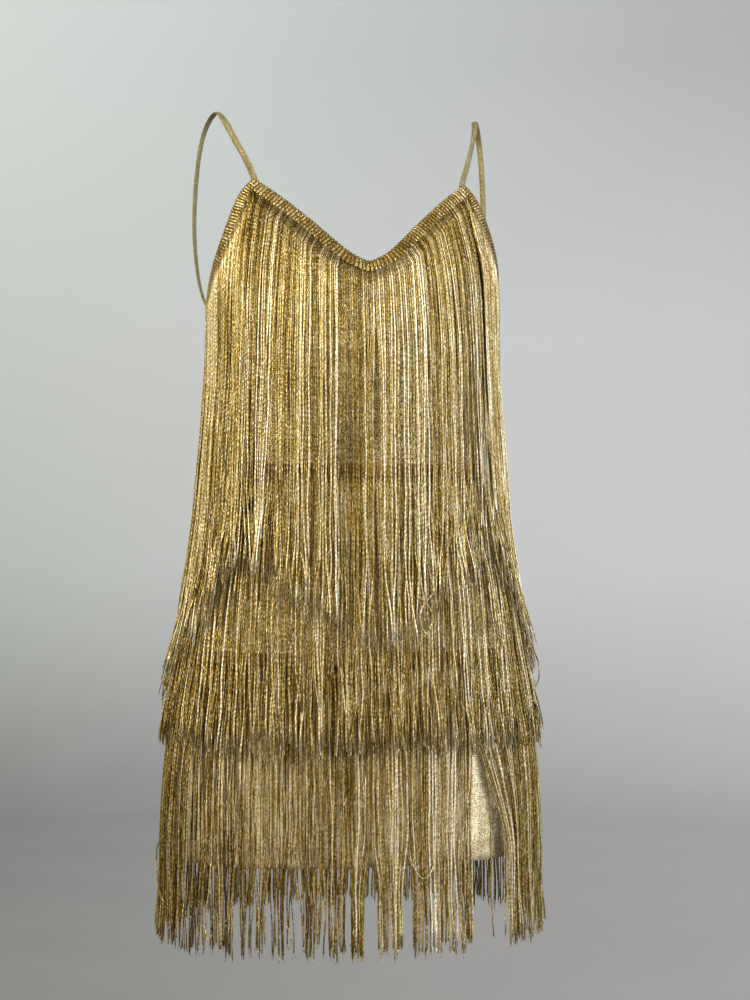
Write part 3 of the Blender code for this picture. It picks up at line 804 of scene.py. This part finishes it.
def hanging_yarns(rng, fall, at, peak_side):
    """The yarns and their frayed ends. Painted shade darkens them under a peak, mostly near their tops, and
    at the sides of a thinned tier, and painted light makes them lighter on the wearer's left.
    """
    count = len(at.angle)
    start = at.here + at.down * at.depth[:, None] * 0.86 + at.out * YARN_STANDOFF
    place = distance_along(at.here) * np.linalg.norm(at.ahead[:, :2], axis=1)
    near_peak = (0.35 + 0.65 * ramp(0.0, 0.035, at.from_peak)) * (0.15 + 0.85 * ramp(0.0, 14.0, at.side))
    near_peak = near_peak * np.where((at.side > PEAK_ANGLE) & peak_side, 0.25, 1.0)
    line, left = falling(rng, fall, start, at.down, place, near_peak)
    tuft_tone = np.repeat(rng.normal(0, 0.08, count), 3)[:count]
    faces_out = rng.random(count) < fall.bright
    tone = fall.tone + np.where(faces_out, 0.33, -0.08) + rng.normal(0, 0.10, count) + tuft_tone
    x = at.here[:, 0]
    # painted shade at the sides of a thinned tier, and painted light towards the wearer's left
    shaded = np.maximum(ramp(0.106, 0.120, x), ramp(0.126, 0.136, -x)) * (fall.thinned > 0.2)
    tone = tone + fall.paler * ramp(-0.05, 0.10, x) * (1 - 0.6 * shaded) - 0.06 * shaded
    # painted shade under a peak, mostly taken back lower down the yarn
    peak_painted_shade = 0.36 * (1 - ramp(0.003, 0.032, at.from_peak))
    peak_painted_shade = peak_painted_shade + 0.22 * (1 - ramp(0.01, 0.09, at.from_peak)) * (at.side < PEAK_ANGLE)
    tone = np.clip(tone - peak_painted_shade, 0, 1)
    rings = line.shape[1]
    share = np.linspace(0, 1, rings)[None]
    bead = rng.uniform(0, 6, (count, 1))
    swell = 1 + 0.10 * np.sin(share * 40 + bead) + 0.03 * rng.normal(0, 1, (count, rings))
    size = np.where(faces_out, 1.20, 0.95) * (1 - fall.thinned * laid_bare(at.angle))
    radius = fall.radius * size[:, None] * swell * np.where(left < 0.004, 1.15, 1.0)
    facing = level_outward(fall.form, line, line[..., 2])
    peak_shade_undone = peak_painted_shade[:, None] * 0.8 * ramp(0.035, 0.11, left[:, :1] - left)
    tones = np.clip(tone[:, None] + peak_shade_undone, 0, 1)
    strands = tubes(line, facing, radius, radius * 0.85, fall.sides, tones, ramp(0.02, 0.0, left), 0)
    return [strands, frayed_ends(rng, line, tone)]


def fringe_piece(name, seed, edge, first, last, fall, peak_side=False, dark=None, loose=()):
    """A fringe: its backing tape, the loops round it and the hanging yarns, two from each loop.
    peak_side is true where the tape ends at a peak; dark is None, or the lightness of a brown tape.
    loose holds the yarns that are caught across the others."""
    rng = np.random.default_rng(seed)
    at_loops = edge_places(edge, first, last, 2 * fall.pitch, peak_side)
    loops = header_loops(rng, fall, at_loops, dark)
    tape = backing_tape(edge, first, last, max(len(at_loops.angle) // 2, 24), peak_side, dark)
    yarns = hanging_yarns(rng, fall, edge_places(edge, first, last, fall.pitch, peak_side), peak_side)
    caught = [loose_yarn(fall.form, stray) for stray in loose]
    made = add_piece(name, yarns + [loops, tape] + caught, [foil_yarn, header_yarn])
    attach(made, "root")
    return made


# Foil yarn: a crepe twist of flat gold foil and soft rayon. Its facets vary in tone, roughness and tilt, the
# brightest are painted toward pale cream as painted glints, the twist's grooves carry painted shade, and the
# cut ends are a little lighter.
foil_yarn, tree, shader = material("twisted foil yarn")
TWIST_PITCH = 0.0042
YARN_GIRTH = 0.0049
FOIL_FACET = 0.0008
cloth = node(tree, "UVMap", uv_map="Cloth").outputs["UV"]
apart = node(tree, "SeparateXYZ", feeds={0: cloth})
tone = node(tree, "Attribute", attribute_name="tone").outputs["Fac"]
end = node(tree, "Attribute", attribute_name="end").outputs["Fac"]
around = maths(tree, "MULTIPLY", apart.outputs["X"], math.tau / YARN_GIRTH)
where = node(tree, "NewGeometry").outputs["Position"]
slack = node(tree, "TexNoise", {"Scale": 90.0, "Detail": 2.0}, {"Vector": where})
around = maths(tree, "MULTIPLY_ADD", slack.outputs[0], 14.0, around)
around = maths(tree, "MULTIPLY_ADD", tone, 90.0, around)
twist = maths(tree, "MULTIPLY_ADD", apart.outputs["Y"], math.tau / TWIST_PITCH, around)
ply_relief_and_shade = maths(tree, "SINE", twist)
long_cells = node(tree, "VectorMath", {1: (1.0, 1.0, 0.28)}, {0: where}, operation="MULTIPLY")
cells = node(tree, "TexVoronoi", {"Scale": 1 / FOIL_FACET}, {"Vector": long_cells.outputs[0]})
cell = node(tree, "SeparateColor", feeds={0: cells.outputs["Color"]})
dull = node(tree, "TexNoise", {"Scale": 45.0, "Detail": 3.0}, {"Vector": where})
shade = maths(tree, "MULTIPLY", tone, 0.55)
# painted shade: the twist's grooves are painted darker, besides their bump
shade = maths(tree, "MULTIPLY_ADD", ply_relief_and_shade, 0.06, shade)
shade = maths(tree, "MULTIPLY_ADD", cell.outputs["Red"], 0.22, shade)
shade = maths(tree, "MULTIPLY_ADD", dull.outputs[0], 0.22, shade)
shade = maths(tree, "MULTIPLY_ADD", end, 0.07, shade)
hue = colour_steps(
    tree, shade,
    ((0.16, "#463003"), (0.38, "#877029"), (0.60, "#c1b07b"), (0.84, "#eeead9")),
)
# painted glint: the brightest foil facets are mixed toward a pale cream
painted_glint = node(tree, "MapRange", {"From Min": 0.86, "From Max": 0.98, "To Max": 0.35},
             {0: cell.outputs["Green"]})
hue = node(tree, "Mix", {7: linear("#fff6d6")}, {0: painted_glint.outputs[0], 6: hue}, data_type="RGBA").outputs[2]
height = maths(tree, "MULTIPLY_ADD", cell.outputs["Green"], 0.6, ply_relief_and_shade)
bump = node(tree, "Bump", {"Strength": 0.4, "Distance": 0.0002}, {"Height": height})
rough = node(tree, "MapRange", {"To Min": 0.36, "To Max": 0.66}, {0: cell.outputs["Blue"]})
tree.links.new(hue, shader.inputs["Base Color"])
tree.links.new(rough.outputs[0], shader.inputs["Roughness"])
tree.links.new(bump.outputs[0], shader.inputs["Normal"])
shader.inputs["Metallic"].default_value = 0.90
shader.inputs["Coat Weight"].default_value = 0.05
shader.inputs["Coat Roughness"].default_value = 0.25

# Header tape: woven of dull brown yarn, with a fine mottle and hardly any shine. It lies under every fringe,
# and the loops of the waist and hip fringes are of the same yarn.
header_yarn, tree, shader = material("dark header tape")
where = node(tree, "NewGeometry").outputs["Position"]
mottle = node(tree, "TexNoise", {"Scale": 900.0, "Detail": 2.0}, {"Vector": where})
lightness = node(tree, "Attribute", attribute_name="tone").outputs["Fac"]
shade = maths(tree, "MULTIPLY_ADD", mottle.outputs[0], 0.3, lightness)
hue = colour_steps(tree, shade, ((0.15, "#3a2406"), (0.45, "#6b4c1c"), (0.8, "#a98a4c")))
tree.links.new(hue, shader.inputs["Base Color"])
shader.inputs["Roughness"].default_value = 0.6
shader.inputs["Metallic"].default_value = 0.15

NECK_LOOSE = (
    Stray(from_angle=11.0, to_angle=11.5, from_z=-0.462, to_z=-0.502, bow=4.5),
    Stray(from_angle=17.0, to_angle=16.0, from_z=-0.459, to_z=-0.505, bow=-5.0, bulge=0.001),
)
neck_fringe = fringe_piece(
    "neck_fringe", seed=11, edge=top_edge, first=-PEAK_ANGLE + PEAK_GAP, last=PEAK_ANGLE - PEAK_GAP,
    fall=TOP_FALL, peak_side=True, loose=NECK_LOOSE,
)
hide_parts("fringe_neck")

# The armhole fringes: the same fringe carried on behind each peak and down the armhole to the side seam.
LEFT_SEAM, RIGHT_SEAM = 89.95, -89.95
# Both armhole fringes are of one yarn; the right one's higher tone is painted light.
RIGHT_SIDE_FALL = TOP_FALL._replace(pitch=0.00145, tone=0.47)
LEFT_SIDE_FALL = RIGHT_SIDE_FALL._replace(tone=0.40)
LEFT_LOOSE = (
    Stray(from_angle=65.0, to_angle=64.0, from_z=-0.514, to_z=-0.556, bow=13.0, bulge=0.004),
)
left_armhole_fringe = fringe_piece(
    "left_armhole_fringe", seed=12, edge=top_edge, first=PEAK_ANGLE + PEAK_GAP, last=LEFT_SEAM,
    fall=LEFT_SIDE_FALL, peak_side=True, loose=LEFT_LOOSE,
)
right_armhole_fringe = fringe_piece(
    "right_armhole_fringe", seed=13, edge=top_edge, first=RIGHT_SEAM, last=-PEAK_ANGLE - PEAK_GAP,
    fall=RIGHT_SIDE_FALL, peak_side=True,
)
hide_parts("fringe_armhole_left")
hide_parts("fringe_armhole_right")

# The back fringe: the same again along the low top edge of the back, from side seam to side seam.
BACK_FROM, BACK_TO = 90.05, 269.95
back_fringe = fringe_piece(
    "back_fringe", seed=14, edge=top_edge, first=BACK_FROM, last=BACK_TO, fall=TOP_FALL
)
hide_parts("fringe_back")

# The waist fringe: a ring of fringe on a dark woven tape, looped like the first tier and sewn round the
# waist under its yarns. The ring is joined at the wearer's left side seam.
MIDDLE_FORM = (
    Section(-0.352, 0.1250, 0.0980, 0.0840),
    Section(-0.400, 0.1370, 0.1045, 0.0920),
    Section(-0.460, 0.1545, 0.1105, 0.1055),
    Section(-0.520, 0.1670, 0.1135, 0.1180),
    Section(-0.560, 0.1750, 0.1150, 0.1240),
    Section(-0.600, 0.1785, 0.1165, 0.1270),
)
WAIST_TAPE_Z = -0.342
RING_FROM, RING_TO = 90.05, 449.95
MIDDLE_FALL = Fall(
    form=MIDDLE_FORM, length=0.249, spread=0.0062, pitch=0.00125, radius=0.00074, sides=4,
    lean=0.85, sag=0.0010, splay=0.0030, layer=0.0020, tone=0.37, bright=0.36, paler=0.08, thinned=0.10,
    partings=(
        Parting(x=-0.112, left=-0.115, right=-0.110, reach=0.010, closed_z=-0.47, open_z=-0.58),
        Parting(x=-0.041, left=-0.043, right=-0.039, reach=0.009, closed_z=-0.48, open_z=-0.58),
        Parting(x=0.016, left=0.013, right=0.018, reach=0.010, closed_z=-0.46, open_z=-0.57),
        Parting(x=0.071, left=0.069, right=0.073, reach=0.009, closed_z=-0.48, open_z=-0.58),
    ),
)


def level(z):
    """An edge that runs level round the body at one height."""
    return lambda angle: np.full(np.shape(angle), z)


WAIST_LOOSE = (
    Stray(from_angle=67.0, to_angle=77.0, from_z=-0.567, to_z=-0.606, bow=4.5, bulge=0.002),
)
waist_fringe = fringe_piece(
    "waist_fringe", seed=15, edge=level(WAIST_TAPE_Z), first=RING_FROM, last=RING_TO, fall=MIDDLE_FALL,
    dark=0.12, loose=WAIST_LOOSE,
)
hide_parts("fringe_waist")

# The hip fringe: the lowest ring, on a brown woven tape sewn round the hips under the waist fringe. Its
# yarns fall past the hem of the slip.
LOW_FORM = (
    Section(-0.526, 0.1588, 0.1060, 0.1090),
    Section(-0.560, 0.1660, 0.1087, 0.1157),
    Section(-0.600, 0.1750, 0.1110, 0.1207),
    Section(-0.640, 0.1800, 0.1125, 0.1220),
    Section(-0.705, 0.1830, 0.1145, 0.1230),
    Section(-0.790, 0.1830, 0.1165, 0.1240),
)
HIP_TAPE_Z = -0.516
# The hip yarns are the same yarn as the upper tiers; their low tone is painted shade low on the dress.
LOW_FALL = Fall(
    form=LOW_FORM, length=0.259, spread=0.0045, pitch=0.00130, radius=0.00080, sides=4,
    lean=0.85, sag=0.0008, splay=0.0018, layer=0.0018, tone=0.21, bright=0.30, paler=0.40, thinned=0.34,
    partings=(
        Parting(x=-0.147, left=-0.151, right=-0.143, reach=0.018, closed_z=-0.69, open_z=-0.75),
        Parting(x=-0.122, left=-0.124, right=-0.120, reach=0.008, closed_z=-0.69, open_z=-0.74),
        Parting(x=-0.108, left=-0.110, right=-0.106, reach=0.006, closed_z=-0.69, open_z=-0.74),
        Parting(x=-0.094, left=-0.097, right=-0.091, reach=0.010, closed_z=-0.68, open_z=-0.73),
        Parting(x=-0.070, left=-0.077, right=-0.064, reach=0.016, closed_z=-0.68, open_z=-0.74),
        Parting(x=-0.048, left=-0.050, right=-0.046, reach=0.008, closed_z=-0.69, open_z=-0.74),
        Parting(x=-0.024, left=-0.028, right=-0.021, reach=0.012, closed_z=-0.69, open_z=-0.75),
        Parting(x=-0.003, left=-0.010, right=0.003, reach=0.016, closed_z=-0.68, open_z=-0.735),
        Parting(x=0.032, left=0.027, right=0.037, reach=0.014, closed_z=-0.68, open_z=-0.735),
        Parting(x=0.098, left=0.094, right=0.133, reach=0.056, closed_z=-0.57, open_z=-0.71),
    ),
)
HIP_LOOSE = (
    Stray(from_angle=-78.0, to_angle=-78.0, from_z=-0.689, to_z=-0.751, bow=-16.0, bulge=0.001),
    Stray(from_angle=8.0, to_angle=15.0, from_z=-0.701, to_z=-0.706, sag=0.017),
    Stray(from_angle=-51.0, to_angle=-48.0, from_z=-0.763, to_z=-0.771, sag=0.009),
    Stray(from_angle=-22.0, to_angle=-21.0, from_z=-0.759, to_z=-0.781, bow=1.0),
)
hip_fringe = fringe_piece(
    "hip_fringe", seed=16, edge=level(HIP_TAPE_Z), first=RING_FROM, last=RING_TO, fall=LOW_FALL,
    dark=0.34, loose=HIP_LOOSE,
)
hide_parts("fringe_hip")

# The studio: a matt grey round backdrop that curves up from the floor, lit by two large soft lights and by
# the light of the room above it.
FLOOR_Z = -1.43
STUDIO_RADIUS = 6.0
COVE_RADIUS = 1.6
WALL_TOP = 3.6
COVE_STEPS = 12
FLOOR_RADIUS = STUDIO_RADIUS - COVE_RADIUS
profile = [(r, FLOOR_Z) for r in (0.5, 1.5, 2.5, 3.5, FLOOR_RADIUS)]
for n in range(1, COVE_STEPS + 1):
    turn = math.radians(90 * n / COVE_STEPS)
    profile.append(
        (FLOOR_RADIUS + COVE_RADIUS * math.sin(turn), FLOOR_Z + COVE_RADIUS - COVE_RADIUS * math.cos(turn))
    )
profile += [(STUDIO_RADIUS, z) for z in (0.8, 1.6, 2.6, WALL_TOP)]
turns = np.linspace(0, math.tau, 97)
studio_points = np.array([[(r * math.cos(t), r * math.sin(t), z) for t in turns] for r, z in profile])
hub = np.array([[(0.0, 0.0, FLOOR_Z)] * len(turns)])
studio_points = np.concatenate([hub, studio_points])

# Matt wall with a faint grain, painted darker towards the floor and on the left and cooler and paler on the
# right, as painted shade and light
backdrop, tree, shader = material("matt grey backdrop")
where = node(tree, "NewGeometry").outputs["Position"]
grain = node(tree, "TexNoise", {"Scale": 3.0, "Detail": 5.0}, {"Vector": where})
apart = node(tree, "SeparateXYZ", feeds={0: where})
rise = node(tree, "MapRange", {"From Min": -1.5, "From Max": 1.6}, {0: apart.outputs["Z"]})
rise = maths(tree, "MULTIPLY_ADD", grain.outputs[0], 0.05, rise.outputs[0])
left_wall_painted_shade = colour_steps(
    tree, rise, ((0.02, "#6c6e6d"), (0.30, "#a6aca8"), (0.55, "#b7bcb8"), (0.98, "#bac2bf"))
)
right_wall_painted_shade = colour_steps(
    tree, rise, ((0.02, "#b1afb2"), (0.30, "#c6c7cc"), (0.60, "#c6c8cd"), (0.98, "#aeb1b4"))
)
# painted light and shade across the wall, from its darker left to its paler right
aside = node(tree, "MapRange", {"From Min": -1.0, "From Max": 2.4}, {0: apart.outputs["X"]})
hue = node(tree, "Mix", feeds={0: aside.outputs[0], 6: left_wall_painted_shade, 7: right_wall_painted_shade}, data_type="RGBA").outputs[2]
tree.links.new(hue, shader.inputs["Base Color"])
shader.inputs["Roughness"].default_value = 0.95
shader.inputs["Specular IOR Level"].default_value = 0.1
studio = grid_mesh("studio", studio_points, studio_points[..., :2], backdrop)

Light = namedtuple("Light", "name place aim size power colour")

LIGHTS = (
    Light(
        name="key_softbox", place=(2.75, -3.05, 1.2), aim=(0.0, 0.0, -0.40),
        size=2.4, power=212.0, colour="#fbfbff",
    ),
    Light(
        name="fill_softbox", place=(-3.3, -1.9, 1.5), aim=(0.0, 0.0, -0.3),
        size=1.1, power=236.0, colour="#fff2da",
    ),
    Light(
        name="backdrop_lamp", place=(-1.2, 2.6, 2.9), aim=(0.6, 6.0, 0.8),
        size=1.6, power=110.0, colour="#ffffff",
    ),
)
for row in LIGHTS:
    data = bpy.data.lights.new(row.name, "AREA")
    data.shape = "SQUARE"
    data.size = row.size
    data.energy = row.power
    data.color = linear(row.colour)[:3]
    lamp = bpy.data.objects.new(row.name, data)
    lamp.location = row.place
    way = np.array(row.aim) - np.array(row.place)
    flat_way = math.hypot(way[0], way[1])
    lamp.rotation_euler = (math.atan2(flat_way, -way[2]), 0.0, math.atan2(-way[0], way[1]))
    bpy.context.scene.collection.objects.link(lamp)

room = bpy.data.worlds.new("room light")
room.use_nodes = True
room.node_tree.nodes["Background"].inputs["Color"].default_value = linear("#eef0f0")
room.node_tree.nodes["Background"].inputs["Strength"].default_value = 0.40
bpy.context.scene.world = room
bpy.context.scene.view_settings.view_transform = "Standard"

# The camera stands level with the waist, a little to the wearer's right of the front, and the dress
# fills a tall frame from just above its straps to just below its longest fringe.
VIEW_TURN = math.radians(-10.5)
VIEW_DISTANCE = 1.8
VIEW_HEIGHT = -0.375
VIEW_SIDESTEP = 0.0225
VIEW_HALF_HEIGHT = 0.485
camera_data = bpy.data.cameras.new("camera")
camera_data.angle = 2 * math.atan(VIEW_HALF_HEIGHT / VIEW_DISTANCE)
camera = bpy.data.objects.new("camera", camera_data)
camera.location = (
    VIEW_DISTANCE * math.sin(VIEW_TURN) + VIEW_SIDESTEP * math.cos(VIEW_TURN),
    -VIEW_DISTANCE * math.cos(VIEW_TURN) + VIEW_SIDESTEP * math.sin(VIEW_TURN),
    VIEW_HEIGHT,
)
camera.rotation_euler = (math.pi / 2, 0, VIEW_TURN)
bpy.context.scene.collection.objects.link(camera)
bpy.context.scene.camera = camera
